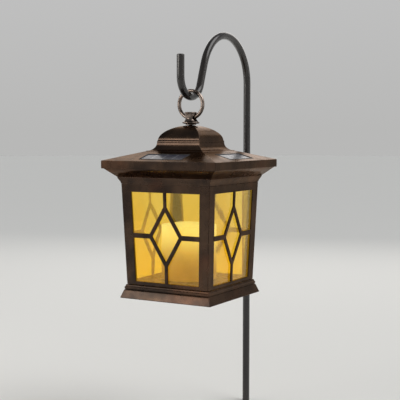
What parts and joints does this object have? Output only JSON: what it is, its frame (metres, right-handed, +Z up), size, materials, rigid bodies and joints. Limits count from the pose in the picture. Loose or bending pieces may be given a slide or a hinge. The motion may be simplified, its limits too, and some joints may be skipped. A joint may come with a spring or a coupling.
{
  "type": "solar lantern on shepherd hook",
  "caption": "Square tapered solar lantern with amber panes and a glowing candle, hung by a ring from a shepherd's crook ground stake.",
  "frame": {"origin": "on the pole's axis at ground level, where the stake enters the ground", "axes": "+Z up along the pole; the lantern hangs on the -Y side of the pole, and its front face looks along -Y; +X is to the right of a viewer who faces that front"},
  "size_m": [0.15, 0.2203, 0.5806],
  "materials": {
    "crook_enamel": "glossy black-bronze enamel on bent steel rod",
    "lantern_bronze": "cast, oil-rubbed bronze finish, satin, copper showing on worn edges",
    "burnished_bronze": "burnished bronze plating, soft scratches, warm silver-brown highlights",
    "amber_glass": "streaky translucent amber glass",
    "solar_cell": "dark amorphous silicon under clear resin",
    "candle_wax": "translucent ivory imitation wax, lit from inside",
    "led_lens": "clear warm-white lens",
    "white_plastic": "moulded off-white plastic",
    "black_plastic": "fine-textured moulded black plastic",
    "zinc_steel": "bright zinc-plated steel",
    "circuit_board": "green solder mask",
    "lead_insulation": "soft red insulation",
    "cell_sleeve": "green shrink sleeve, no markings"
  },
  "bodies": {
    "crook": {"crook_upper": "crook_enamel", "stake_lower": "crook_enamel"},
    "ring": {"hanging_ring": "burnished_bronze"},
    "lantern": {"finial": "burnished_bronze", "finial_nut": "zinc_steel", "dome_cap": "lantern_bronze", "roof_shell": "lantern_bronze", "solar_panel_front": "solar_cell", "solar_panel_right": "solar_cell", "solar_panel_back": "solar_cell", "solar_panel_left": "solar_cell", "panel_lead_front": "lead_insulation", "panel_lead_right": "lead_insulation", "panel_lead_back": "lead_insulation", "panel_lead_left": "lead_insulation", "junction_board": "circuit_board", "main_lead": "lead_insulation", "led_lead": "lead_insulation", "roof_tray": "lantern_bronze", "cornice": "lantern_bronze", "roof_screw_1": "zinc_steel", "roof_screw_2": "zinc_steel", "roof_screw_3": "zinc_steel", "roof_screw_4": "zinc_steel", "window_frame_front": "lantern_bronze", "window_frame_right": "lantern_bronze", "window_frame_back": "lantern_bronze", "window_frame_left": "lantern_bronze", "amber_pane_front": "amber_glass", "amber_pane_right": "amber_glass", "amber_pane_back": "amber_glass", "amber_pane_left": "amber_glass", "corner_bracket_1": "lantern_bronze", "corner_bracket_2": "lantern_bronze", "corner_bracket_3": "lantern_bronze", "corner_bracket_4": "lantern_bronze", "base_ledge": "lantern_bronze", "base_plinth": "lantern_bronze", "candle_tray": "lantern_bronze", "bottom_plate": "black_plastic", "base_screw_1": "zinc_steel", "base_screw_2": "zinc_steel", "base_screw_3": "zinc_steel", "base_screw_4": "zinc_steel", "door_pin": "zinc_steel", "battery_holder": "black_plastic", "battery_cell": "cell_sleeve", "contact_plate": "zinc_steel", "contact_spring": "zinc_steel", "switch_body": "black_plastic", "control_board": "circuit_board", "charge_chip": "black_plastic", "candle_shell": "candle_wax", "led_post": "white_plastic", "led": "led_lens"},
    "door": {"battery_door": "black_plastic"},
    "slider": {"switch_slider": "white_plastic"}
  },
  "joints": [
    {"name": "ring_swing", "type": "hinge", "parent": "crook", "child": "ring", "pos_m": [0, -0.141, 0.3942], "axis": [0, 1, 0], "range_deg": [-25, 25]},
    {"name": "lantern_swing", "type": "hinge", "parent": "ring", "child": "lantern", "pos_m": [0, -0.141, 0.3696], "axis": [1, 0, 0], "range_deg": [-35, 20]},
    {"name": "door_hinge", "type": "hinge", "parent": "lantern", "child": "door", "pos_m": [0, -0.1514, 0.1644], "axis": [-1, 0, 0], "range_deg": [0, 90]},
    {"name": "switch_slide", "type": "slide", "parent": "lantern", "child": "slider", "axis": [0, 1, 0], "range_m": [-0.004, 0]}
  ]
}
